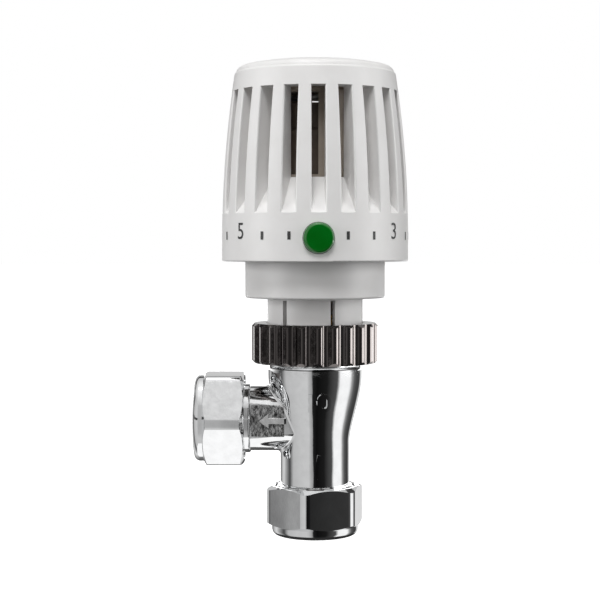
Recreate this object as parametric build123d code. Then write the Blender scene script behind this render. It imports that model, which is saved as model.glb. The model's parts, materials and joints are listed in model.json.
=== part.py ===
from build123d import *
import math
import os

# Thermostatic radiator valve, angle pattern, for 15 mm copper tube.  Millimetres.
# The stem axis is Z and the origin is on it, at the mouth of the lower (inlet) nut.
# The outlet branch points towards -X.  The front, with the flow arrow, faces -Y.

# ---- compression ends ----
TUBE_R = 7.6                # socket for 15 mm tube
TUBE_DEPTH = 15.0           # tube stop, from the nut's mouth
NUT_AF = 24.0
NUT_LENGTH = 13.4
NUT_COLLAR_R = 11.6
NUT_COLLAR = 2.6            # length of the round end collar
NUT_COLLAR_ROUND = 1.5      # rounding of the collar's end
NUT_CORNER = 2.7            # rounding of the hexagon's corners
NUT_ENVELOPE_R = 13.9       # round bar that the nut is turned from
NUT_FACE_R = 11.75          # flat left on the nut's ends by the chamfer
INLET_NUT_TURN = -11.4      # azimuth of one corner, degrees from the front
OUTLET_NUT_TURN = 1.5       # fall of the same corner below the front, degrees
THREAD_R = 10.48            # G 1/2 thread, outside radius
THREAD_GAP = 0.3            # radial gap that stands for the thread form
STUB_START = 7.0            # body's thread, from the nut's mouth
STUB_END = 13.4
OLIVE_R = 8.8

# ---- valve body ----
NECK_R = 9.3
BRANCH_Z = 31.4
BRANCH_END = -32.4          # mouth of the outlet nut
BRANCH_R = 8.75
BRANCH_RING = 15.1          # end of the ring behind the branch's thread, from the mouth
FLAT_Y = 7.4                # half width over the branch's two flats, at the ring
FLAT_DRAFT = 3.0            # degrees that each flat spreads towards the leg
BRANCH_JOINT = 0.9          # fillet where the branch meets the leg
ARROW_PROUD = 1.0           # height of the arrow over the narrow end of the flat
MARK_PROUD = 0.5            # height of the raised casting marks
WATERWAY_R = 5.0
BRANCH_BORE_R = 5.8
SEAT_Z = 24.2
SHOULDER_R = 12.6
SHOULDER_TOP = 46.0
SHOULDER_ROUND = 1.3
WAIST_LOW = 25.0            # the leg widens from here
WAIST_HIGH = 43.3           # to here
BOSS_R = 14.95              # M30 head thread, outside radius
BOSS_LOW = 47.0
BODY_TOP = 53.4
INSERT_R = 9.5              # bore for the valve insert

# ---- valve insert ----
SPINDLE_R = 1.9
STEM_R = 1.5                # stepped end that carries the plate
OPEN_LIFT = 2.9             # washer above its seat at setting 4
PIN_TOP = 67.8
SPRING_BED = 41.6
SPRING_TOP = 50.0

# ---- union nut ----
UNION_R = 17.1
UNION_LOBES = 24
LOBE_R = 1.6
LOBE_TURN = 2.6             # azimuth of one lobe, degrees from the front
VALLEY = 16.15              # distance of the valleys from the axis
UNION_LOW = 46.5
UNION_TOP = 57.2
UNION_CHAMFER = 0.8         # cone that trims the lobes at both ends
LIP_LOW = 54.7
CLIP_R = 13.1               # lip bore, round the neck

# ---- head base ----
NECK_OUT = 12.8
NECK_IN = 10.9
NECK_SLITS = 6
NECK_SLIT = 1.3
COLLAR_LOW = 64.0
COLLAR_TOP = 86.2
COLLAR_R = 18.8
COLLAR_IN = 17.0
BASE_TUBE_OUT = 14.8
BASE_TUBE_IN = 13.3
KEY_WIDTH = 3.0

# ---- handwheel ----
WHEEL_LOW = 73.8
WHEEL_R = 25.0
SKIRT_IN = 23.0
TAPER_FROM = 79.5           # the outline curves inwards above this height
BAND_TOP_R = 21.6
BAND_TOP = 123.7
CAP_SEAT = 124.2
WHEEL_TOP = 127.0
RIBS = 20
SLOT_WIDTH = 3.6
SLOT_ROUND = 0.4            # rounding of the ribs' outer edges
SLOT_TOP = 119.0
RIB_IN = 16.6
FLOOR_HIGH = 95.7           # slot floor at the ribs' inner edge
FLOOR_SLOPE = 1.125
FLOOR_DROP = 3.0            # thickness of the sloping floor, measured down
WHEEL_TUBE_IN = 15.1
DIAL_TURN = 2.2             # azimuth of the slot over the button, degrees from the front
WHEEL_TURN = 270.0          # whole turn between the stops
WHEEL_OPEN = 54.0           # turn left to the open stop, from setting 4
LUG_TURN = 180.0            # azimuth of the stop lug at setting 4
LUG_ARC = 9.0
LUG_GAP = 1.0               # left between lug and stop at the ends of the turn
STOP_R = 20.2
STOP_LOW = 84.4
PIN_POCKET_R = 21.9         # radius of the two limit pins' circle

# ---- sensor carriage ----
SLEEVE_OUT = 13.0
SLEEVE_IN = 12.0
CAGE_OUT = 14.0
CAGE_LOW = 95.0
CAGE_TOP = 118.3
CAGE_WINDOWS = 4
WINDOW_WIDTH = 8.4
WINDOW_LOW = 96.5
WINDOW_TOP = 118.0
SENSOR_R = 11.4
SHELF = 77.6                # top of the shelf that the sensor stands on
SENSOR_TOP = 109.0
PIN_R = 2.5
PLUNGER_R = 5.0

# ---- button ----
BUTTON_R = 4.0
BUTTON_Z = 79.9
BUTTON_PROUD = 1.4
BUTTON_ROUND = 0.9
BUTTON_BACK = 21.2          # distance of the button's inner end from the axis
LEAF_Y = 21.0               # distance of the leaf spring from the axis

FIT = 0.08                  # radial gap of a shaft in its guide


def turned(*points):
    """Solid of revolution about Z from a closed outline of (radius, height) points."""
    outline = make_face(Polyline(*[(r, 0, z) for r, z in points], close=True))
    return revolve(outline, Axis.Z)


def tube(outer, inner, low, high):
    """Straight tube about Z between two heights."""
    return turned((inner, low), (outer, low), (outer, high), (inner, high))


def rod(radius, low, high):
    """Straight round bar about Z between two heights."""
    return Pos(0, 0, (low + high) / 2) * Cylinder(radius, high - low)


def polar(radius, angle):
    """Point in the XY plane at a radius and an angle in radians."""
    return (radius * math.cos(angle), radius * math.sin(angle))


def rims(part, radius, *heights):
    """Circular edges of a turned part with one radius, at the given heights."""
    circles = part.edges().filter_by(GeomType.CIRCLE)
    return circles.filter_by(
        lambda edge: abs(edge.radius - radius) < 0.02
        and any(abs(edge.arc_center.Z - height) < 0.02 for height in heights)
    )


def hexagon(across_flats, corner, low, high):
    """Hexagonal bar about Z with rounded corners, one of them towards +X."""
    outline = fillet(RegularPolygon(across_flats / 2, 6, major_radius=False).vertices(), corner)
    return Pos(0, 0, low) * extrude(outline, high - low)


def chamfered(bar, across, flat_r, low, high):
    """Cut a bar's two ends back to a cone, as turned nuts are."""
    drop = (across - flat_r) * math.tan(math.radians(30))
    envelope = turned(
        (0, low), (flat_r, low), (across, low + drop),
        (across, high - drop), (flat_r, high), (0, high),
    )
    return bar & envelope


def coil(mean_r, wire_r, low, high, turns):
    """Helical compression spring about Z, wire centre from low to high."""
    pitch = (high - low) / turns
    path = Helix(pitch=pitch, height=high - low, radius=mean_r)
    section = Plane(origin=path @ 0, z_dir=path % 0) * Circle(wire_r)
    return Pos(0, 0, low) * sweep(section, path=path, is_frenet=True)


# ---------------------------------------------------------------- compression ends

def compression_nut():
    """Compression nut about Z with its mouth at z = 0."""
    bar = hexagon(NUT_AF, NUT_CORNER, NUT_COLLAR, NUT_LENGTH)
    bar = chamfered(bar, NUT_ENVELOPE_R, NUT_FACE_R, NUT_COLLAR, NUT_LENGTH)
    collar = rod(NUT_COLLAR_R, 0, NUT_COLLAR + 0.5)
    collar = fillet(rims(collar, NUT_COLLAR_R, 0), NUT_COLLAR_ROUND)
    thread_r = THREAD_R + THREAD_GAP
    inside = turned(
        (0, -1), (TUBE_R, -1), (TUBE_R, 2.8), (9.1, 5.4),
        (thread_r, 6.2), (thread_r, NUT_LENGTH + 1), (0, NUT_LENGTH + 1),
    )
    nut = bar + collar - inside
    return chamfer(rims(nut, thread_r, NUT_LENGTH), 0.4)


def olive():
    """Brass compression ring about Z, between the nut's cone and the body's mouth."""
    return turned(
        (TUBE_R, 3.3), (7.7, 3.3), (OLIVE_R, 5.5), (OLIVE_R, 6.4), (7.8, 8.2), (TUBE_R, 8.2),
    )


def stub_bore():
    """Socket and tube stop that every compression end has, cut from z = 0 upwards."""
    mouth_r = TUBE_R + 1.3
    return turned(
        (0, STUB_START - 1), (mouth_r, STUB_START - 1), (mouth_r, STUB_START),
        (TUBE_R, STUB_START + 2.25), (TUBE_R, TUBE_DEPTH), (0, TUBE_DEPTH),
    )


def thread_stub():
    """Outside of a compression end, from its face to the shoulder behind the nut."""
    stub = rod(THREAD_R, STUB_START, STUB_END)
    return chamfer(rims(stub, THREAD_R, STUB_START, STUB_END), 0.5)


def to_branch(part):
    """Turn a part made about Z so that its mouth faces -X on the branch."""
    return Pos(BRANCH_END, 0, BRANCH_Z) * Rot(0, 90, 0) * part


# ---------------------------------------------------------------- valve body

def flow_arrow():
    """Raised arrow on the branch's front flat, pointing to the outlet."""
    shaft = Pos(2.4, 0) * Rectangle(4.8, 2.2)
    head = make_face(Polyline((-3.2, 0), (0.2, 2.6), (0.2, -2.6), close=True))
    front = Plane(origin=(-12.2, -FLAT_Y, BRANCH_Z), x_dir=(1, 0, 0), z_dir=(0, -1, 0))
    return extrude(front * (shaft + head), ARROW_PROUD, taper=22)


def body_shell(grow=0.0):
    """Outside of the casting below the head boss, grown outwards by a skin."""
    neck = NECK_R + grow
    shoulder = SHOULDER_R + grow
    waist = Bezier(
        (neck, 0, WAIST_LOW), (neck, 0, 29.2), (shoulder, 0, 37.0), (shoulder, 0, WAIST_HIGH),
    )
    sides = Polyline(
        (shoulder, 0, WAIST_HIGH), (shoulder, 0, SHOULDER_TOP), (0, 0, SHOULDER_TOP),
        (0, 0, STUB_END), (neck, 0, STUB_END), (neck, 0, WAIST_LOW),
    )
    leg = revolve(make_face(waist.edges() + sides.edges()), Axis.Z)
    return fillet(rims(leg, shoulder, SHOULDER_TOP), SHOULDER_ROUND)


def cast_marks():
    """Plain raised casting marks on the front: a bar, an open lozenge and a slanted bar."""
    front = Plane(origin=(0, -8.0, 0), x_dir=(1, 0, 0), z_dir=(0, -1, 0))
    bar = Pos(-1.3, 36.5) * Rectangle(1.1, 4.8)
    lozenge = Pos(2.4, 36.5) * RectangleRounded(3.6, 4.8, 1.7)
    lozenge -= Pos(2.4, 36.5) * RectangleRounded(1.7, 2.9, 0.8)
    slanted = Pos(0.6, 19.4) * Rot(0, 0, -10) * Rectangle(0.9, 6.2)
    return extrude(front * (bar + lozenge + slanted), 6) & body_shell(MARK_PROUD)


def head_boss():
    """Threaded boss that the union nut screws on to."""
    boss = rod(BOSS_R, BOSS_LOW, BODY_TOP)
    return chamfer(rims(boss, BOSS_R, BOSS_LOW, BODY_TOP), 0.6) + rod(12.0, 45.5, BOSS_LOW + 0.5)


def branch_shell():
    """Outside of the branch: round bar with two flats and a ring behind the thread."""
    near = BRANCH_RING - 1
    far = -BRANCH_END
    wide = FLAT_Y + (far - near) * math.tan(math.radians(FLAT_DRAFT))
    flats = make_face(Polyline((FLAT_Y, near), (wide, far), (-wide, far), (-FLAT_Y, near), close=True))
    bar = rod(BRANCH_R, near, far) & extrude(Plane.YZ * flats, BRANCH_R + 1, both=True)
    ring = rod(9.3, STUB_END, BRANCH_RING)
    return to_branch(bar + fillet(rims(ring, 9.3, BRANCH_RING), 0.5))


def valve_body():
    """Chromed brass angle casting with its waterway."""
    shell = body_shell() + branch_shell()
    joint = [
        edge for edge in shell.edges()
        if -14 < edge.center().X < -4 and 20 < edge.center().Z < 42
        and edge.geom_type not in (GeomType.LINE, GeomType.CIRCLE)
    ]
    shell = fillet(joint, BRANCH_JOINT)
    shell += head_boss()
    shell += thread_stub()
    shell += to_branch(thread_stub())
    chamber = turned(
        (0, TUBE_DEPTH), (WATERWAY_R, TUBE_DEPTH), (WATERWAY_R, SEAT_Z), (5.7, SEAT_Z), (5.9, 23.4),
        (7.4, 23.4), (7.4, 25.4), (8.6, 28.6), (8.6, 41.0), (INSERT_R, 41.0),
        (INSERT_R, BODY_TOP), (0, BODY_TOP),
    )
    outlet = to_branch(rod(BRANCH_BORE_R, TUBE_DEPTH - 0.01, 28.0))
    shell += flow_arrow() + cast_marks()
    shell -= stub_bore()
    shell -= to_branch(stub_bore())
    shell -= outlet
    return shell - chamber


# ---------------------------------------------------------------- valve insert

def headwork_body():
    """Brass insert: screwed sleeve with a spring bed and a hexagon on top."""
    sleeve = rod(INSERT_R - 0.02, 42.0, BODY_TOP)
    guide = rod(7.8, 38.0, 42.0)
    flange = rod(10.3, BODY_TOP, BODY_TOP + 0.9)
    grip = chamfered(hexagon(17.0, 0.8, BODY_TOP + 0.9, 57.4), 9.7, 8.4, BODY_TOP, 57.4)
    shell = sleeve + guide + flange + grip
    shell -= tube(INSERT_R + 1, 8.3, 44.0, 46.2)
    shell -= rod(6.0, SPRING_BED, 52.8)
    shell -= rod(3.4, 52.8, 57.4)
    return shell - rod(SPINDLE_R + FIT, 38.0, SPRING_BED)


def headwork_o_ring():
    """Rubber ring in the insert's groove."""
    section = Plane.XZ * Pos(8.85, 45.1) * Ellipse(0.55, 1.0)
    return revolve(section, Axis.Z)


def gland_nut():
    """Small nut that closes the insert and guides the spindle."""
    nut = chamfered(hexagon(11.0, 0.4, 57.4, 59.3), 6.3, 5.5, 57.4, 59.3) + rod(3.3, 53.4, 57.4)
    nut -= rod(SPINDLE_R + FIT, 53.4, 59.3)
    return nut - rod(2.9, 55.0, 57.0)


def spindle_o_ring():
    """Rubber ring round the spindle inside the gland nut."""
    section = Plane.XZ * Pos(2.44, 56.0) * Ellipse(0.42, 0.8)
    return revolve(section, Axis.Z)


def spindle():
    """Steel spindle with a stepped end for the plate and a groove for its washer."""
    washer_z = SEAT_Z + OPEN_LIFT
    bar = rod(SPINDLE_R, washer_z + 4.4, PIN_TOP) + rod(STEM_R, washer_z - 2.4, washer_z + 4.4)
    bar = chamfer(rims(bar, SPINDLE_R, PIN_TOP), 0.4)
    return bar - tube(SPINDLE_R + 1, 1.55, SPRING_TOP, SPRING_TOP + 1.0)


def spring_washer():
    """Clip ring in the spindle's groove that takes the return spring."""
    return tube(5.2, 1.6, SPRING_TOP + 0.02, SPRING_TOP + 0.98)


def return_spring():
    """Spring that lifts the spindle and opens the valve."""
    return coil(4.1, 0.45, SPRING_BED + 0.47, SPRING_TOP - 0.47, 6)


def valve_disc():
    """Brass plate that backs the rubber washer."""
    low = SEAT_Z + OPEN_LIFT + 1.6
    bore = STEM_R + 0.03
    return turned(
        (bore, low), (6.8, low), (6.8, low + 1.0), (5.8, low + 1.6), (3.2, low + 1.9),
        (3.2, low + 2.8), (bore, low + 2.8),
    )


def seal_washer():
    """Rubber washer that closes on the seat."""
    low = SEAT_Z + OPEN_LIFT
    washer = tube(6.5, STEM_R + 0.03, low, low + 1.6)
    return fillet(rims(washer, 6.5, low), 0.3)


def disc_nut():
    """Small nut under the washer."""
    low = SEAT_Z + OPEN_LIFT - 1.8
    nut = chamfered(hexagon(5.5, 0.2, low, low + 1.8), 3.2, 2.7, low, low + 1.8)
    return nut - rod(STEM_R + 0.03, low, low + 1.8)


# ---------------------------------------------------------------- union nut

def union_nut():
    """Lobed ring nut that clamps the head base on the body's top thread."""
    half = math.radians(180 / UNION_LOBES)
    lobe_x = (UNION_R - LOBE_R) * math.cos(half)
    lobe_y = (UNION_R - LOBE_R) * math.sin(half)
    step = VALLEY - lobe_x
    hollow_r = (step**2 + lobe_y**2 - LOBE_R**2) / (2 * (LOBE_R - step))
    share = LOBE_R / (LOBE_R + hollow_r)
    meet_x = lobe_x + (step + hollow_r) * share
    meet_y = lobe_y * (1 - share)
    meet_r = math.hypot(meet_x, meet_y)
    meet_turn = math.atan2(meet_y, meet_x)
    arcs = []
    for i in range(UNION_LOBES):
        valley = 2 * half * i
        crest = valley + half
        arcs.append(ThreePointArc(
            polar(meet_r, valley - meet_turn), polar(VALLEY, valley), polar(meet_r, valley + meet_turn),
        ))
        arcs.append(ThreePointArc(
            polar(meet_r, valley + meet_turn), polar(UNION_R, crest),
            polar(meet_r, crest + half - meet_turn),
        ))
    bar = Rot(0, 0, LOBE_TURN - math.degrees(half)) * extrude(make_face(arcs), UNION_TOP - UNION_LOW)
    bar = Pos(0, 0, UNION_LOW) * bar
    end_r = UNION_R - UNION_CHAMFER
    envelope = turned(
        (0, UNION_LOW), (end_r, UNION_LOW), (end_r + 1, UNION_LOW + 1),
        (end_r + 1, UNION_TOP - 1), (end_r, UNION_TOP), (0, UNION_TOP),
    )
    thread_r = BOSS_R + THREAD_GAP
    nut = (bar & envelope) - rod(CLIP_R, UNION_LOW - 1, UNION_TOP + 1)
    nut -= rod(thread_r, UNION_LOW - 1, LIP_LOW)
    return chamfer(rims(nut, CLIP_R, UNION_TOP), 0.3)


def slip_ring():
    """Thin steel ring between the union nut's lip and the neck's flange."""
    return tube(14.9, CLIP_R + 0.05, BODY_TOP + 0.65, LIP_LOW - 0.05)


# ---------------------------------------------------------------- head base

def stop_rib():
    """Arc on the collar that the handwheel's lug meets at both ends of its turn."""
    arc = 360 - WHEEL_TURN - LUG_ARC - 2 * LUG_GAP
    middle = LUG_TURN + WHEEL_OPEN + (360 - WHEEL_TURN) / 2
    section = Plane.XZ * Pos((STOP_R + COLLAR_R) / 2 - 0.1, STOP_LOW + 0.9) * Rectangle(
        STOP_R - COLLAR_R + 0.2, 1.8)
    return Rot(0, 0, middle - 90 - arc / 2) * revolve(section, Axis.Z, revolution_arc=arc)


def head_base():
    """Fixed plastic base: split neck, collar and the tube that guides the carriage."""
    base = turned(
        (NECK_IN, BODY_TOP + 0.02), (14.6, BODY_TOP + 0.02), (14.6, BODY_TOP + 0.6),
        (NECK_OUT, BODY_TOP + 0.6), (NECK_OUT, COLLAR_LOW), (COLLAR_R, COLLAR_LOW),
        (COLLAR_R, COLLAR_TOP), (COLLAR_IN, COLLAR_TOP), (COLLAR_IN, 66.2), (BASE_TUBE_OUT, 66.2),
        (BASE_TUBE_OUT, COLLAR_TOP + 2), (BASE_TUBE_IN, COLLAR_TOP + 2), (BASE_TUBE_IN, 66.2),
        (PLUNGER_R + 1.8, 66.2), (PLUNGER_R + 1.8, 71.0), (PLUNGER_R + FIT, 71.0),
        (PLUNGER_R + FIT, COLLAR_LOW), (NECK_IN, COLLAR_LOW),
    )
    base = fillet(rims(base, COLLAR_R, COLLAR_LOW), 0.6)
    base = chamfer(rims(base, COLLAR_R, COLLAR_TOP), 0.4)
    for i in range(NECK_SLITS):
        slit = Pos(0, -12, (BODY_TOP + 63.0) / 2) * Box(NECK_SLIT, 6, 63.0 - BODY_TOP + 1)
        base -= Rot(0, 0, 21.5 + i * 360 / NECK_SLITS) * slit
    wall = tube(BASE_TUBE_OUT + 0.1, BASE_TUBE_IN - 0.3, 68.5, 90)
    for turn in (90, 270):
        keyway = Pos(0, -14, 80) * Box(KEY_WIDTH + 0.6, 3.2, 22)
        base -= (Rot(0, 0, turn) * keyway) & wall
    return base + stop_rib()


# ---------------------------------------------------------------- sensor carriage

def guide_sleeve():
    """Carriage that lifts with the handwheel: keyed sleeve below, open cage above."""
    sleeve = turned(
        (6.0, SHELF - 1.6), (SLEEVE_IN, SHELF - 1.6), (SLEEVE_IN, 72.5), (SLEEVE_OUT, 72.5),
        (SLEEVE_OUT, CAGE_LOW - 1), (CAGE_OUT, CAGE_LOW), (CAGE_OUT, CAGE_TOP), (15.4, CAGE_TOP + 0.2),
        (15.4, 120.3), (11.0, 120.3), (11.0, 123.4), (7.0, 123.4), (7.0, CAGE_TOP),
        (CAGE_OUT - 1.2, CAGE_TOP), (CAGE_OUT - 1.2, CAGE_LOW), (SLEEVE_IN, CAGE_LOW - 1),
        (SLEEVE_IN, SHELF), (6.0, SHELF),
    )
    sleeve -= tube(11.5, 10.35, 122.2, 122.9)
    window = Pos(0, -14, (WINDOW_LOW + WINDOW_TOP) / 2) * Box(
        WINDOW_WIDTH, 6, WINDOW_TOP - WINDOW_LOW)
    for i in range(CAGE_WINDOWS):
        sleeve -= Rot(0, 0, -14 + i * 360 / CAGE_WINDOWS) * window
    for turn in (90, 270):
        key = Pos(0, -13.7, 79.5) * Box(KEY_WIDTH, 1.6, 13)
        sleeve += Rot(0, 0, turn) * key
    return sleeve


def sensor_cartridge():
    """Sealed thermostatic element with a stem boss below."""
    shell = turned(
        (0, 76.0), (5.5, 76.0), (5.5, SHELF + 0.05), (SENSOR_R, SHELF + 0.05), (SENSOR_R, 80.6),
        (SENSOR_R - 0.5, 81.1), (SENSOR_R - 0.5, 82.1), (SENSOR_R, 82.6), (SENSOR_R, SENSOR_TOP - 0.8),
        (SENSOR_R - 0.8, SENSOR_TOP), (0, SENSOR_TOP),
    )
    return shell - rod(PIN_R + FIT, 75.0, 96.0)


def sensor_pin():
    """Thrust pin that the element pushes out."""
    return rod(PIN_R, 73.8, 95.0)


def spring_cup():
    """Dark cup on the element that holds the overtravel spring."""
    return turned(
        (3.0, SENSOR_TOP), (10.9, SENSOR_TOP), (10.9, 115.4), (9.9, 115.4),
        (9.9, SENSOR_TOP + 1.0), (3.0, SENSOR_TOP + 1.0),
    )


def overtravel_spring():
    """Spring that lets the element rise once the valve is shut."""
    return coil(8.6, 0.7, SENSOR_TOP + 1.72, CAGE_TOP - 0.72, 3)


def plunger():
    """Plastic plunger between the element's pin and the valve's spindle."""
    body = rod(PLUNGER_R, 66.8, 73.8)
    body = chamfer(rims(body, PLUNGER_R, 66.8, 73.8), 0.3)
    return body - rod(SPINDLE_R + 0.4, 66.8, PIN_TOP)


# ---------------------------------------------------------------- handwheel

def floor_z(radius):
    """Height of the sloping slot floor at a radius."""
    return FLOOR_HIGH - (radius - RIB_IN) * FLOOR_SLOPE


def wheel_blank():
    """Handwheel before its slots are cut."""
    side = TangentArc((WHEEL_R, 0, TAPER_FROM), (BAND_TOP_R, 0, BAND_TOP), tangent=(0, 0, 1))
    rest = Polyline(
        (BAND_TOP_R, 0, BAND_TOP), (21.2, 0, CAP_SEAT), (17.5, 0, CAP_SEAT), (17.5, 0, 122.0),
        (11.3, 0, 122.0), (11.3, 0, 120.5), (15.9, 0, 120.5), (RIB_IN, 0, 118.8),
        (RIB_IN, 0, FLOOR_HIGH), (WHEEL_TUBE_IN, 0, FLOOR_HIGH), (WHEEL_TUBE_IN, 0, 75.4),
        (RIB_IN, 0, 75.4), (RIB_IN, 0, floor_z(RIB_IN) - FLOOR_DROP),
        (SKIRT_IN, 0, floor_z(SKIRT_IN) - FLOOR_DROP), (SKIRT_IN, 0, WHEEL_LOW),
        (WHEEL_R, 0, WHEEL_LOW), (WHEEL_R, 0, TAPER_FROM),
    )
    blank = revolve(make_face(side.edges() + rest.edges()), Axis.Z)
    return Rot(0, 0, DIAL_TURN + 180 / RIBS) * fillet(rims(blank, WHEEL_R, WHEEL_LOW), 0.4)


def slot_sides(wheel):
    """Long edges where the slots' side walls meet the ribs' outer faces."""
    height = SLOT_TOP - floor_z(WHEEL_R)
    return [
        edge for edge in wheel.edges()
        if 0.9 * height < edge.length < 1.2 * height
        and math.hypot(edge.center().X, edge.center().Y) > BAND_TOP_R
    ]


def stop_lug():
    """Lug inside the skirt that meets the collar's rib."""
    width = 2 * STOP_R * math.sin(math.radians(LUG_ARC / 2))
    block = Pos(0, -(19.3 + 23.2) / 2, 86.4) * Box(width, 3.9, 4.4)
    return Rot(0, 0, LUG_TURN) * block


def pin_places():
    """Places of the two limit pins under the skirt."""
    return [Rot(0, 0, turn) * Pos(0, -PIN_POCKET_R, 0) for turn in (140, 220)]


def handwheel():
    """Ribbed handwheel with a plain skirt, a button hole, a stop lug and two pin pockets."""
    slot = make_face(Polyline(
        (14.0, 0, SLOT_TOP), (27.0, 0, SLOT_TOP), (27.0, 0, floor_z(27.0)),
        (RIB_IN, 0, FLOOR_HIGH), (14.0, 0, FLOOR_HIGH), close=True,
    ))
    slot = extrude(slot, SLOT_WIDTH / 2, both=True) - rod(RIB_IN - 0.5, 80, 130)
    wheel = wheel_blank() - [Rot(0, 0, DIAL_TURN - 90 + i * 360 / RIBS) * slot for i in range(RIBS)]
    wheel = fillet(slot_sides(wheel), SLOT_ROUND)
    wheel += stop_lug()
    for place in pin_places():
        wheel += place * rod(1.45, 76.0, 88.0)
        wheel -= place * rod(0.95, 75.0, 84.4)
    wheel -= at_button(Pos(0, -25, 0) * Rot(90, 0, 0) * Cylinder(BUTTON_R + 0.12, 8))
    return wheel - at_button(Pos(0, -LEAF_Y, 0) * Box(20.9, 0.8, 5.0))


def top_cap():
    """Shallow domed cap with a plug rim that closes the handwheel."""
    dome = Polyline((0, 0, WHEEL_TOP), (8.0, 0, WHEEL_TOP))
    brow = Spline(
        (8.0, 0, WHEEL_TOP), (14.8, 0, 126.6), (18.6, 0, 126.0), (20.4, 0, 125.4), (21.15, 0, CAP_SEAT),
        tangents=((1, 0, 0), (0.1, 0, -1)),
    )
    under = Polyline(
        (21.15, 0, CAP_SEAT), (17.3, 0, CAP_SEAT), (17.3, 0, 122.3), (16.1, 0, 122.3),
        (16.1, 0, 124.4), (10.6, 0, 125.1), (0, 0, 125.1), (0, 0, WHEEL_TOP),
    )
    return revolve(make_face(dome.edges() + brow.edges() + under.edges()), Axis.Z)


def snap_ring():
    """Open ring that holds the handwheel down on the carriage."""
    ring = tube(12.8, 10.4, 122.22, 122.88)
    return ring - Pos(0, 12, 122.5) * Box(4, 8, 4)


def at_button(part):
    """Place a part made along -Y at z = 0 in the button's position."""
    return Rot(0, 0, DIAL_TURN) * Pos(0, 0, BUTTON_Z) * part


def limit_button():
    """Round push button with a retaining flange inside the skirt."""
    front = WHEEL_R + BUTTON_PROUD
    cap = rod(BUTTON_R, BUTTON_BACK, front)
    cap = fillet(rims(cap, BUTTON_R, front), BUTTON_ROUND)
    return at_button(Rot(90, 0, 0) * (cap + rod(BUTTON_R + 0.8, BUTTON_BACK, BUTTON_BACK + 0.9)))


def button_spring():
    """Flat leaf behind the button, its ends in grooves inside the skirt."""
    return at_button(Pos(0, -LEAF_Y, 0) * Box(20.3, 0.34, 4.4))


def limit_pins():
    """Two headed pins kept in the pockets under the skirt, for limiting the dial."""
    pin = rod(0.87, 75.7, 84.0) + rod(1.05, 74.8, 75.8)
    return Compound(children=[place * pin for place in pin_places()])


def inlet_nut():
    """Lower nut, a corner of its hexagon just left of the front."""
    return Rot(0, 0, -90 + INLET_NUT_TURN) * compression_nut()


def outlet_nut():
    """Branch nut, a corner of its hexagon just below the front."""
    return to_branch(Rot(0, 0, -90 + OUTLET_NUT_TURN) * compression_nut())


def inlet_olive():
    """Olive of the lower nut."""
    return olive()


def outlet_olive():
    """Olive of the branch nut."""
    return to_branch(olive())


PIECES = [
    valve_body, headwork_body, headwork_o_ring, gland_nut, spindle_o_ring, spindle, spring_washer,
    return_spring, valve_disc, seal_washer, disc_nut, inlet_nut, inlet_olive, outlet_nut,
    outlet_olive, union_nut, slip_ring, head_base, guide_sleeve, sensor_cartridge, sensor_pin,
    spring_cup, overtravel_spring, plunger, handwheel, top_cap, snap_ring, limit_button,
    button_spring, limit_pins,
]

os.makedirs("parts", exist_ok=True)
for piece in PIECES:
    export_step(piece(), f"parts/{piece.__name__}.step")
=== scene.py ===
import json
import math

import bmesh
import bpy
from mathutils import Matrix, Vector

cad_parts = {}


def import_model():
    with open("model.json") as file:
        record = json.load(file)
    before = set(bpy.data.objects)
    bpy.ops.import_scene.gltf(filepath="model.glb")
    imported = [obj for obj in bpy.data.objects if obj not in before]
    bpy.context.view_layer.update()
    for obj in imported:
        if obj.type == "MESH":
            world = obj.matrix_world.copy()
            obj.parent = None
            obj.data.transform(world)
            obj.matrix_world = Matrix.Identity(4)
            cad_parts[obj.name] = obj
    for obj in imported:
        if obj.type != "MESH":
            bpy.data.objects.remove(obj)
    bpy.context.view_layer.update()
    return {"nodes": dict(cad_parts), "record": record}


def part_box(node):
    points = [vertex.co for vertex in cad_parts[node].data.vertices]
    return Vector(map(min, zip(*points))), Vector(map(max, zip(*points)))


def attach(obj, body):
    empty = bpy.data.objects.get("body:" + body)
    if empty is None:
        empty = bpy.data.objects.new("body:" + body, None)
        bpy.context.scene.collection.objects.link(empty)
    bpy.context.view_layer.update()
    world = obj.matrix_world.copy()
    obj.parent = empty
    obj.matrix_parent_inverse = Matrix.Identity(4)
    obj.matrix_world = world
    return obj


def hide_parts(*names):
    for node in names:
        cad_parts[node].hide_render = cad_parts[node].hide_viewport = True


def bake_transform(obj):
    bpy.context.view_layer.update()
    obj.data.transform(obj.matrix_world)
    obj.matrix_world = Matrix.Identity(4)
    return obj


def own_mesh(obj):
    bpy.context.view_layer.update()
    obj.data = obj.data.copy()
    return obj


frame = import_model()

# Thermostatic radiator valve.  Metres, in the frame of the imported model: the stem axis is Z,
# the outlet branch points to -X and the front, which the camera sees, is -Y.

MM = 0.001

# ---- camera ----
CAMERA_DISTANCE = 0.400
CAMERA_HEIGHT = 0.0781
CAMERA_LENS = 89.0
CAMERA_DROP = math.radians(2.12)      # pitch down
CAMERA_YAW = math.radians(0.58)       # the stem stands right of the picture's middle

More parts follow.
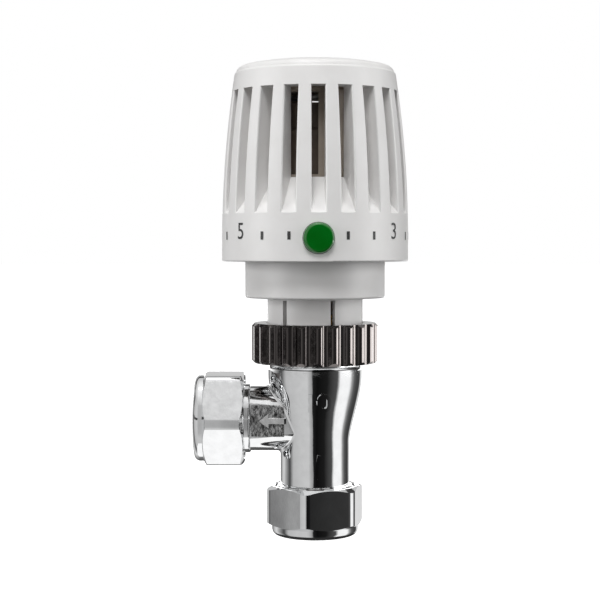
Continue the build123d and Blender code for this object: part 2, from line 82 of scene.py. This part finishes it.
# ---- reflections ----
RING_R = 0.200
RING_LOW = -0.100
RING_HIGH = 0.190
CARD_STEP = 5                         # degrees between a card's columns
SHEET_R = 0.078                       # white middle of the sheet below
RING_FULL = 6.0
RING_STOPS = [                        # (azimuth in degrees from the front towards +X, strength)
    (-180, 0.05), (-160, 0.15), (-146, 0.35), (-124, 0.75), (-112, 0.45), (-100, 0.22), (-92, 0.08),
    (-87, 0.10), (-80, 0.35), (-74, 0.54), (-50, 0.60), (-20, 0.64), (-8, 0.34), (-5.5, 0.015),
    (5, 0.005), (30, 0.012), (46, 0.06), (56, 0.08), (60, 0.5), (64, 1.02), (76, 1.05),
    (92, 1.05), (97, 0.9), (102, 0.4), (112, 0.12), (124, 0.06), (140, 0.05), (150, 0.8), (162, 0.7),
    (170, 0.05), (180, 0.05),
]
UNION_BAND = (31.2 * MM, 48.5 * MM)   # the part of the surroundings that the union nut mirrors
UNION_STOPS = [                       # (azimuth, strength) as above
    (-180, 5.5), (-160, 4.5), (-145, 3.2), (-130, 1.9), (-118, 1.0), (-106, 0.5), (-96, 0.08),
    (-22, 0.05), (-14, 0.45), (-6, 0.34), (-3, 0.22), (8, 0.22), (20, 0.08), (50, 0.08),
    (64, 0.16), (71, 5.0), (94, 5.2), (106, 3.6), (150, 3.4), (180, 3.0),
]
ROOF_STOPS = [(RING_HIGH, 0.55), (0.30, 0.75), (0.37, 1.1), (0.378, 4.0), (0.39, 4.0)]  # (height, strength)
ROOF_PROFILE = [(RING_R, RING_HIGH), (0.16, 0.30), (0.05, 0.38), (0.002, 0.39)]         # (radius, height)
CARD_EYE = 0.002                      # open middle of the sheet
CARD_INSET = 5 * MM                   # how far the strip and the flag stand inside the ring
BAND_INSET = 7 * MM
SHEET_LIGHT = 1.1
COASTER_R = (1 * MM, 15 * MM)
COASTER_Z = -3 * MM
COASTER_LIGHT = 0.03
STRIP_Z = (49 * MM, 140 * MM)
STRIP_TURN = (145, 215)
STRIP_LIGHT = 0.6
FLAG_Z = (141 * MM, 310 * MM)
FLAG_TURN = (110, 250)
FLAG_LIGHT = 0.05

# ---- floor, sky and lamps ----
FLOOR_HALF = 6.0
FLOOR_Z = -8 * MM
FLOOR_GLOW = ((0.02, 0.85), (0.35, 1.0))      # (distance, strength) near the valve and far away: a glow that keeps the floor white, weaker near the valve as painted shade round its foot
SKY_LIGHT = 0.13
SKY_SEEN = 1.0

# ---- plating ----
CHROME = (0.88, 0.885, 0.89)
PANEL_X = (-17.0 * MM, -8.2 * MM)     # the branch's flats, left as cast
PANEL_Y = (7.0 * MM, 8.08 * MM)
ARROW_Y = (8.16 * MM, 9.0 * MM)       # the arrow's face, a little dull
PANEL_Z = (27.2 * MM, 35.6 * MM)
PANEL_EDGE = 0.04 * MM                # softness of the borders
PANEL_LUMPS = 0.4 * MM
MIX_A, MIX_B, MIX_RESULT = 6, 7, 2    # colour sockets of a Mix node

# ---- dial ----
DIAL_TURN = 2.2                       # azimuth of the button, degrees from the front
DIAL_STEP = 17.5                      # between neighbouring ticks or numbers
TICK_LOW = 79.5 * MM
TICK_SIZE = (0.85 * MM, 2.1 * MM)
NUMBER_LOW = 79.7 * MM
NUMBER_HIGH = 4.2 * MM
FONT_HEIGHT = 0.69                    # of a digit, for a font of size 1
INK = 0.06 * MM                       # how far the print stands off the skirt

# ---- springs ----
LEAF_SIZE = (20.3 * MM, 0.34 * MM, 4.4 * MM)
LEAF_STEPS = 20
RETURN_SPLIT = 0.64                   # share of the return spring's height that goes to its lower piece
WELD = 1e-6


# ---------------------------------------------------------------- materials

def shader(name, **sockets):
    """A principled material; returns it with its nodes, links and shader."""
    material = bpy.data.materials.new(name)
    material.use_nodes = True
    tree = material.node_tree
    bsdf = tree.nodes["Principled BSDF"]
    for socket, value in sockets.items():
        bsdf.inputs[socket.replace("_", " ")].default_value = value
    return material, tree.nodes, tree.links, bsdf


def noise(nodes, links, scale, detail=4.0, stretch=(1, 1, 1)):
    """Noise in the object's own coordinates, scale per metre."""
    place = nodes.new("ShaderNodeTexCoord")
    mapping = nodes.new("ShaderNodeMapping")
    mapping.inputs["Scale"].default_value = stretch
    texture = nodes.new("ShaderNodeTexNoise")
    texture.inputs["Scale"].default_value = scale
    texture.inputs["Detail"].default_value = detail
    links.new(place.outputs["Object"], mapping.inputs["Vector"])
    links.new(mapping.outputs["Vector"], texture.inputs["Vector"])
    return texture.outputs["Fac"]


def ramp(nodes, links, value, low, high, low_at=0.35, high_at=0.65):
    """Map a value to a colour or grey between two ends."""
    node = nodes.new("ShaderNodeValToRGB")
    node.color_ramp.elements[0].position = low_at
    node.color_ramp.elements[1].position = high_at
    node.color_ramp.elements[0].color = (*low, 1)
    node.color_ramp.elements[1].color = (*high, 1)
    links.new(value, node.inputs["Fac"])
    return node.outputs["Color"]


def grey(value):
    """A neutral colour."""
    return (value, value, value)


def bump(nodes, links, bsdf, heights):
    """Chain bumps of (height value, depth in metres) into the shader's normal."""
    last = None
    for height, depth in heights:
        node = nodes.new("ShaderNodeBump")
        node.inputs["Strength"].default_value = 1.0
        node.inputs["Distance"].default_value = depth
        links.new(height, node.inputs["Height"])
        if last:
            links.new(last, node.inputs["Normal"])
        last = node.outputs["Normal"]
    links.new(last, bsdf.inputs["Normal"])


def plating(name, colour, wave, rough):
    """Polished plating over brass: slightly wavy, with fine polishing variation."""
    material, nodes, links, bsdf = shader(name, Metallic=1.0)
    dirt = noise(nodes, links, 420.0, 5.0)
    duller = tuple(c * 0.94 for c in colour)
    links.new(ramp(nodes, links, dirt, duller, colour), bsdf.inputs["Base Color"])
    links.new(ramp(nodes, links, noise(nodes, links, 900.0, 6.0), grey(rough), grey(rough * 2.2)),
              bsdf.inputs["Roughness"])
    bump(nodes, links, bsdf, [(noise(nodes, links, 90.0, 1.5), wave),
                              (noise(nodes, links, 1500.0), 0.000004)])
    return material


def product(nodes, links, values):
    """Product of several values."""
    total = values[0]
    for value in values[1:]:
        node = nodes.new("ShaderNodeMath")
        node.operation = "MULTIPLY"
        links.new(total, node.inputs[0])
        links.new(value, node.inputs[1])
        total = node.outputs[0]
    return total


def between(nodes, links, value, low, high):
    """Mask that is 1 where a value lies between two limits, with soft edges."""
    masks = []
    for limit, way in ((low, 1), (high, -1)):
        edge = nodes.new("ShaderNodeMapRange")
        edge.interpolation_type = "SMOOTHSTEP"
        edge.inputs["From Min"].default_value = limit - way * PANEL_EDGE
        edge.inputs["From Max"].default_value = limit + way * PANEL_EDGE
        links.new(value, edge.inputs["Value"])
        masks.append(edge.outputs[0])
    return product(nodes, links, masks)


def casting():
    """Body's plating: polished, but rough as cast on the branch's flats and dull on the arrow's face."""
    material = plating("cast_chrome", CHROME, 0.00016, 0.03)
    nodes, links = material.node_tree.nodes, material.node_tree.links
    bsdf = nodes["Principled BSDF"]
    place = nodes.new("ShaderNodeTexCoord")
    axes = nodes.new("ShaderNodeSeparateXYZ")
    links.new(place.outputs["Object"], axes.inputs[0])
    side = nodes.new("ShaderNodeMath")
    side.operation = "ABSOLUTE"
    links.new(axes.outputs["Y"], side.inputs[0])
    across = [between(nodes, links, axes.outputs["X"], *PANEL_X),
              between(nodes, links, axes.outputs["Z"], *PANEL_Z)]
    panel = product(nodes, links, across + [between(nodes, links, side.outputs[0], *PANEL_Y)])
    arrow = product(nodes, links, across + [between(nodes, links, side.outputs[0], *ARROW_Y)])
    for mask, tone, rough in ((panel, (0.16, 0.62), (0.16, 0.34)), (arrow, (0.93, 0.97), (0.40, 0.48))):
        for socket, ends, scale in (("Base Color", tone, 700.0), ("Roughness", rough, 500.0)):
            mix = nodes.new("ShaderNodeMix")
            mix.data_type = "RGBA"
            links.new(mask, mix.inputs["Factor"])
            links.new(bsdf.inputs[socket].links[0].from_socket, mix.inputs[MIX_A])
            links.new(ramp(nodes, links, noise(nodes, links, scale), *map(grey, ends)), mix.inputs[MIX_B])
            links.new(mix.outputs[MIX_RESULT], bsdf.inputs[socket])
    lumps = product(nodes, links, [panel, noise(nodes, links, 620.0, 3.0)])
    cast = nodes.new("ShaderNodeBump")
    cast.inputs["Distance"].default_value = PANEL_LUMPS
    links.new(lumps, cast.inputs["Height"])
    links.new(bsdf.inputs["Normal"].links[0].from_socket, cast.inputs["Normal"])
    links.new(cast.outputs["Normal"], bsdf.inputs["Normal"])
    return material


def moulding(name, low, high, rough, grain=0.00001, gloss_coat=0.0):
    """Moulded plastic with a fine spark-eroded grain."""
    material, nodes, links, bsdf = shader(name, Coat_Weight=gloss_coat, Coat_Roughness=0.03)
    links.new(ramp(nodes, links, noise(nodes, links, 160.0), low, high), bsdf.inputs["Base Color"])
    links.new(ramp(nodes, links, noise(nodes, links, 2200.0), grey(rough * 0.85), grey(rough * 1.15)),
              bsdf.inputs["Roughness"])
    bump(nodes, links, bsdf, [(noise(nodes, links, 5200.0, 3.0), grain)])
    return material


def turned_metal(name, colour, rough, around=900.0):
    """Turned or drawn metal with fine rings round its axis."""
    material, nodes, links, bsdf = shader(name, Metallic=1.0)
    rings = noise(nodes, links, around, 3.0, stretch=(0.05, 0.05, 3.0))
    links.new(ramp(nodes, links, rings, tuple(c * 0.8 for c in colour), colour), bsdf.inputs["Base Color"])
    links.new(ramp(nodes, links, noise(nodes, links, 700.0), grey(rough), grey(rough * 1.8)),
              bsdf.inputs["Roughness"])
    bump(nodes, links, bsdf, [(rings, 0.00001)])
    return material


def matt(name, colour_scale, tones, rough_scale, rough):
    """Neutral, dark and dull material; returns what shader does."""
    material, nodes, links, bsdf = shader(name)
    for socket, scale, ends in (("Base Color", colour_scale, tones), ("Roughness", rough_scale, rough)):
        links.new(ramp(nodes, links, noise(nodes, links, scale), *map(grey, ends)), bsdf.inputs[socket])
    return material, nodes, links, bsdf


def rubber():
    """Black rubber of the rings."""
    material, nodes, links, bsdf = matt("rubber", 500.0, (0.012, 0.03), 1800.0, (0.5, 0.75))
    bump(nodes, links, bsdf, [(noise(nodes, links, 3000.0), 0.00002)])
    return material


def ink():
    """Ink of the dial."""
    return matt("ink", 900.0, (0.02, 0.045), 2400.0, (0.4, 0.6))[0]


MATERIALS = {
    "chrome": plating("chrome", CHROME, 0.00016, 0.03),
    "dark_chrome": plating("dark_chrome", (0.17, 0.155, 0.15), 0.00002, 0.05),
    "brass": turned_metal("brass", (0.78, 0.58, 0.27), 0.22),
    "steel": turned_metal("steel", (0.55, 0.55, 0.56), 0.28),
    "rubber": rubber(),
    "white_plastic": moulding("white_plastic", (0.835, 0.826, 0.817), (0.866, 0.859, 0.852), 0.42),
    "taupe_plastic": moulding("taupe_plastic", (0.38, 0.325, 0.27), (0.45, 0.39, 0.33), 0.5),
    "grey_plastic": moulding("grey_plastic", grey(0.38), grey(0.43), 0.5),
    "dark_plastic": moulding("dark_plastic", (0.12, 0.09, 0.07), (0.15, 0.12, 0.10), 0.5),
    "green_plastic": moulding("green_plastic", (0.0, 0.13, 0.006), (0.0, 0.16, 0.01), 0.16,
                              grain=0.000003, gloss_coat=1.0),
}

INK_MATERIAL = ink()


def dress_nodes():
    """Give every CAD node the material of its slot."""
    for sub in frame["record"]["subparts"]:
        node = frame["nodes"][sub["node"]]
        node.data.materials.clear()
        node.data.materials.append(MATERIALS[sub["material_slot"]])
    frame["nodes"]["valve_body"].data.materials[0] = casting()


# ---------------------------------------------------------------- springs

def coil_copy(node, name):
    """Copy of a spring's coil, with the CAD part hidden."""
    coil = bpy.data.objects.new(name, frame["nodes"][node].data.copy())
    bpy.context.collection.objects.link(coil)
    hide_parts(node)
    return coil


def return_spring():
    """Spring cut in two across its axis at RETURN_SPLIT of its height, each cut closed."""
    low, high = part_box("return_spring")
    cut = low.z + (high.z - low.z) * RETURN_SPLIT
    for name, lower, bodies, ends in (("return_spring_low", True, ("valve", "carriage"), (low.z, cut)),
                                      ("return_spring_high", False, ("carriage", "stem"), (cut, high.z))):
        coil = coil_copy("return_spring", name)
        build = bmesh.new()
        build.from_mesh(coil.data)
        bmesh.ops.remove_doubles(build, verts=build.verts, dist=WELD)
        made = bmesh.ops.bisect_plane(build, geom=build.verts[:] + build.edges[:] + build.faces[:],
                                      plane_co=(0, 0, cut), plane_no=(0, 0, 1),
                                      clear_outer=lower, clear_inner=not lower)
        rim = [item for item in made["geom_cut"] if isinstance(item, bmesh.types.BMEdge)]
        bmesh.ops.holes_fill(build, edges=rim)
        build.to_mesh(coil.data)
        build.free()
        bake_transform(coil)


def leaf_half(side, name):
    """Half of the button's flat leaf, which the skirt holds at its end and the button presses at its
    middle; made as a straight bar from the leaf's middle to one end.
    """
    low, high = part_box("button_spring")
    middle = (low + high) / 2
    turn = math.radians(DIAL_TURN)
    across = Vector((math.cos(turn), math.sin(turn), 0)) * side
    front = Vector((math.sin(turn), -math.cos(turn), 0))
    length, thick, tall = LEAF_SIZE
    corners = [front * (t * thick / 2) + Vector((0, 0, z * tall / 2))
               for t, z in ((-1, -1), (1, -1), (1, 1), (-1, 1))]
    mesh = bpy.data.meshes.new(name)
    build = bmesh.new()
    rings = []
    for i in range(LEAF_STEPS + 1):
        place = middle + across * (length / 2 * i / LEAF_STEPS)
        rings.append([build.verts.new(place + corner) for corner in corners])
    for one, two in zip(rings, rings[1:]):
        for j in range(4):
            k = (j + 1) % 4
            build.faces.new((one[j], one[k], two[k], two[j]))
    build.faces.new(rings[0])
    build.faces.new(rings[-1])
    bmesh.ops.recalc_face_normals(build, faces=build.faces)
    build.to_mesh(mesh)
    build.free()
    mesh.materials.append(MATERIALS["steel"])
    half = bpy.data.objects.new(name, mesh)
    bpy.context.collection.objects.link(half)
    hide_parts("button_spring")
    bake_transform(half)


def springs():
    """Springs: the overtravel coil rides on the carriage, the return spring is cut in two and the button's
    leaf is made in two halves.
    """
    coil = coil_copy("overtravel_spring", "overtravel_coil")
    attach(coil, "carriage")
    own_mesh(coil)
    return_spring()
    leaf_half(-1, "button_leaf_left")
    leaf_half(1, "button_leaf_right")


# ---------------------------------------------------------------- stage

def plain_emission(name, strength):
    """White light of one strength."""
    material = bpy.data.materials.new(name)
    material.use_nodes = True
    nodes = material.node_tree.nodes
    nodes.clear()
    out = nodes.new("ShaderNodeOutputMaterial")
    emit = nodes.new("ShaderNodeEmission")
    emit.inputs["Color"].default_value = (1, 1, 1, 1)
    emit.inputs["Strength"].default_value = strength
    material.node_tree.links.new(emit.outputs[0], out.inputs[0])
    return material


def graded_emission(name, stops, full, around):
    """Emission graded by azimuth (degrees from the front towards +X) or by height in metres."""
    material = plain_emission(name, full)
    nodes, links = material.node_tree.nodes, material.node_tree.links
    place = nodes.new("ShaderNodeTexCoord")
    axes = nodes.new("ShaderNodeSeparateXYZ")
    links.new(place.outputs["Object"], axes.inputs[0])
    value = axes.outputs["Z"]
    if around:
        backwards = nodes.new("ShaderNodeMath")
        backwards.operation = "MULTIPLY"
        backwards.inputs[1].default_value = -1
        links.new(axes.outputs["Y"], backwards.inputs[0])
        turn = nodes.new("ShaderNodeMath")
        turn.operation = "ARCTAN2"
        links.new(axes.outputs["X"], turn.inputs[0])
        links.new(backwards.outputs[0], turn.inputs[1])
        value = turn.outputs[0]
    low, high = stops[0][0], stops[-1][0]
    scale = math.radians(1) if around else 1.0
    spread = nodes.new("ShaderNodeMapRange")
    spread.inputs["From Min"].default_value = low * scale
    spread.inputs["From Max"].default_value = high * scale
    links.new(value, spread.inputs["Value"])
    band = nodes.new("ShaderNodeValToRGB")
    elements = band.color_ramp.elements
    for at, strength in stops[1:-1]:
        elements.new((at - low) / (high - low))
    for element, (at, strength) in zip(elements, stops):
        element.position = (at - low) / (high - low)
        element.color = (*grey(strength / full), 1)
    links.new(spread.outputs[0], band.inputs["Fac"])
    emit = next(node for node in nodes if node.type == "EMISSION")
    links.new(band.outputs["Color"], emit.inputs["Color"])
    return material


def reflection_only(name, mesh, material):
    """Add a studio card that lights and shades nothing and shows in reflections alone."""
    mesh.materials.append(material)
    obj = bpy.data.objects.new(name, mesh)
    bpy.context.collection.objects.link(obj)
    obj.visible_camera = False
    obj.visible_shadow = False
    obj.visible_diffuse = False
    obj.visible_transmission = False


def round_card(name, profile, material, azimuths=(-180, 180)):
    """Card turned about Z from (radius, height) points, between two azimuths in degrees."""
    mesh = bpy.data.meshes.new(name)
    build = bmesh.new()
    steps = int((azimuths[1] - azimuths[0]) / CARD_STEP)
    columns = []
    for i in range(steps + 1):
        a = math.radians(azimuths[0] + i * CARD_STEP)
        columns.append([build.verts.new((r * math.sin(a), -r * math.cos(a), z)) for r, z in profile])
    for one, two in zip(columns, columns[1:]):
        for j in range(len(profile) - 1):
            build.faces.new((one[j], two[j], two[j + 1], one[j + 1]))
    bmesh.ops.remove_doubles(build, verts=build.verts, dist=WELD)
    build.to_mesh(mesh)
    build.free()
    reflection_only(name, mesh, material)


def studio_cards():
    """A ring of softboxes and flags at object height, a pale sheet below and a soft roof.

    Behind the valve, a pale strip stands before the ring and a black flag before the roof.
    A band of its own lights the union nut, and a dark coaster lies under the lower nut.
    """
    round_card("studio_ring", [(RING_R, RING_LOW), (RING_R, RING_HIGH)],
               graded_emission("ring_light", RING_STOPS, RING_FULL, around=True))
    round_card("studio_sheet", [(CARD_EYE, RING_LOW), (SHEET_R, RING_LOW)],
               plain_emission("sheet_light", SHEET_LIGHT))
    round_card("studio_apron", [(SHEET_R, RING_LOW), (RING_R, RING_LOW)],
               graded_emission("apron_light", RING_STOPS, RING_FULL, around=True))
    round_card("studio_roof", ROOF_PROFILE,
               graded_emission("roof_light", ROOF_STOPS, RING_FULL, around=False))
    round_card("studio_union_band", [(RING_R - BAND_INSET, z) for z in UNION_BAND],
               graded_emission("band_light", UNION_STOPS, RING_FULL, around=True))
    round_card("studio_coaster", [(r, COASTER_Z) for r in COASTER_R],
               plain_emission("coaster_light", COASTER_LIGHT))
    for name, heights, azimuths, strength in (("strip", STRIP_Z, STRIP_TURN, STRIP_LIGHT),
                                              ("flag", FLAG_Z, FLAG_TURN, FLAG_LIGHT)):
        round_card("studio_back_" + name, [(RING_R - CARD_INSET, z) for z in heights],
                   plain_emission(name + "_light", strength), azimuths)


def floor():
    """Large pale floor just under the lower nut's reach; it glows to stay white, and glows less near the
    valve, a painted shade round the valve's foot.
    """
    mesh = bpy.data.meshes.new("floor")
    corners = [(x * FLOOR_HALF, y * FLOOR_HALF, FLOOR_Z) for x, y in ((-1, -1), (1, -1), (1, 1), (-1, 1))]
    mesh.from_pydata(corners, [], [(0, 1, 2, 3)])
    material = bpy.data.materials.new("floor")
    material.use_nodes = True
    nodes = material.node_tree.nodes
    bsdf = nodes["Principled BSDF"]
    bsdf.inputs["Base Color"].default_value = (0.9, 0.9, 0.9, 1)
    bsdf.inputs["Roughness"].default_value = 0.9
    bsdf.inputs["Emission Color"].default_value = (1, 1, 1, 1)
    links = material.node_tree.links
    place = nodes.new("ShaderNodeTexCoord")
    reach = nodes.new("ShaderNodeVectorMath")
    reach.operation = "LENGTH"
    links.new(place.outputs["Object"], reach.inputs[0])
    # glow fading towards the valve: painted shade round the valve's foot
    fade = nodes.new("ShaderNodeMapRange")
    fade.interpolation_type = "SMOOTHSTEP"
    for end, (distance, strength) in zip(("Min", "Max"), FLOOR_GLOW):
        fade.inputs["From " + end].default_value = distance
        fade.inputs["To " + end].default_value = strength
    links.new(reach.outputs["Value"], fade.inputs["Value"])
    links.new(fade.outputs[0], bsdf.inputs["Emission Strength"])
    mesh.materials.append(material)
    obj = bpy.data.objects.new("floor", mesh)
    bpy.context.collection.objects.link(obj)
    obj.visible_glossy = False
    obj.visible_diffuse = False


def world():
    """White to the camera, softer as a light."""
    sky = bpy.data.worlds.new("studio")
    bpy.context.scene.world = sky
    sky.use_nodes = True
    nodes = sky.node_tree.nodes
    links = sky.node_tree.links
    nodes.clear()
    out = nodes.new("ShaderNodeOutputWorld")
    mix = nodes.new("ShaderNodeMixShader")
    path = nodes.new("ShaderNodeLightPath")
    light = nodes.new("ShaderNodeBackground")
    seen = nodes.new("ShaderNodeBackground")
    light.inputs["Strength"].default_value = SKY_LIGHT
    seen.inputs["Strength"].default_value = SKY_SEEN
    light.inputs["Color"].default_value = (1, 1, 1, 1)
    seen.inputs["Color"].default_value = (1, 1, 1, 1)
    links.new(path.outputs["Is Camera Ray"], mix.inputs[0])
    links.new(light.outputs[0], mix.inputs[1])
    links.new(seen.outputs[0], mix.inputs[2])
    links.new(mix.outputs[0], out.inputs[0])


def area_light(name, place, target, size, power):
    """Rectangular softbox that faces a point."""
    lamp = bpy.data.lights.new(name, "AREA")
    lamp.shape = "RECTANGLE"
    lamp.size, lamp.size_y = size
    lamp.energy = power
    obj = bpy.data.objects.new(name, lamp)
    obj.location = place
    obj.rotation_euler = (Vector(target) - Vector(place)).to_track_quat("-Z", "Y").to_euler()
    bpy.context.collection.objects.link(obj)
    return obj


def camera():
    """Camera in front of the stem axis, a little above the valve's middle."""
    lens = bpy.data.cameras.new("camera")
    lens.lens = CAMERA_LENS
    lens.sensor_width = 36.0
    lens.clip_start = 0.01
    obj = bpy.data.objects.new("camera", lens)
    obj.location = (0, -CAMERA_DISTANCE, CAMERA_HEIGHT)
    obj.rotation_euler = (math.radians(90) - CAMERA_DROP, 0, CAMERA_YAW)
    bpy.context.collection.objects.link(obj)
    bpy.context.scene.camera = obj


# ---------------------------------------------------------------- dial

def skirt_radius():
    """Half the handwheel's width."""
    low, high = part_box("handwheel")
    return (high[0] - low[0]) / 2


def on_skirt(obj, azimuth, middle_height):
    """Bend a flat mesh, made in X and Z about its own middle, on to the skirt."""
    radius = skirt_radius() + INK
    for vertex in obj.data.vertices:
        angle = math.radians(azimuth) + vertex.co.x / radius
        reach = radius + vertex.co.y
        vertex.co = Vector((reach * math.sin(angle), -reach * math.cos(angle), vertex.co.z + middle_height))


def printed(obj):
    """Ink a mark and let it turn with the wheel."""
    obj.data.materials.clear()
    obj.data.materials.append(INK_MATERIAL)
    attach(obj, "wheel")


def tick(azimuth, name):
    """Short printed bar on the skirt."""
    width, height = TICK_SIZE
    mesh = bpy.data.meshes.new(name)
    build = bmesh.new()
    bmesh.ops.create_grid(build, x_segments=4, y_segments=1, size=0.5)
    for vertex in build.verts:
        vertex.co = Vector((vertex.co.x * width, 0, vertex.co.y * height))
    bmesh.ops.recalc_face_normals(build, faces=build.faces)
    build.to_mesh(mesh)
    build.free()
    obj = bpy.data.objects.new(name, mesh)
    bpy.context.collection.objects.link(obj)
    on_skirt(obj, azimuth, TICK_LOW + height / 2)
    printed(obj)


def number(text, azimuth, name):
    """Printed numeral on the skirt."""
    curve = bpy.data.curves.new(name, "FONT")
    curve.body = text
    curve.align_x = "CENTER"
    curve.size = NUMBER_HIGH / FONT_HEIGHT
    curve.resolution_u = 6
    flat = bpy.data.objects.new(name + "_flat", curve)
    bpy.context.collection.objects.link(flat)
    bpy.context.view_layer.update()
    mesh = bpy.data.meshes.new_from_object(flat)
    bpy.data.objects.remove(flat)
    for vertex in mesh.vertices:
        vertex.co = Vector((vertex.co.x, 0, vertex.co.y))
    obj = bpy.data.objects.new(name, mesh)
    bpy.context.collection.objects.link(obj)
    on_skirt(obj, azimuth, NUMBER_LOW)
    printed(obj)


def dial():
    """Numbers every third step from 0 to 5, with two ticks between; the button stands for 4."""
    marks = {-3: "5", 3: "3", 6: "2", 9: "1", 12: "0"}
    for step in range(-4, 13):
        azimuth = DIAL_TURN + step * DIAL_STEP
        if step in marks:
            number(marks[step], azimuth, "dial_number_" + marks[step])
        elif step != 0:
            tick(azimuth, "dial_tick_%d" % (step + 5))


camera()
world()
floor()
studio_cards()
area_light("key_box", (-0.08, -0.60, 0.92), (0, 0, 0.09), (0.45, 0.45), 6.3)
area_light("left_box", (-0.9, -0.35, 0.15), (0, 0, 0.08), (0.5, 0.7), 5.8)
area_light("right_box", (0.9, -0.30, 0.15), (0, 0, 0.08), (0.5, 0.7), 5.4)
dress_nodes()
springs()
dial()

bpy.context.scene.view_settings.view_transform = "Standard"
bpy.context.scene.view_settings.look = "None"
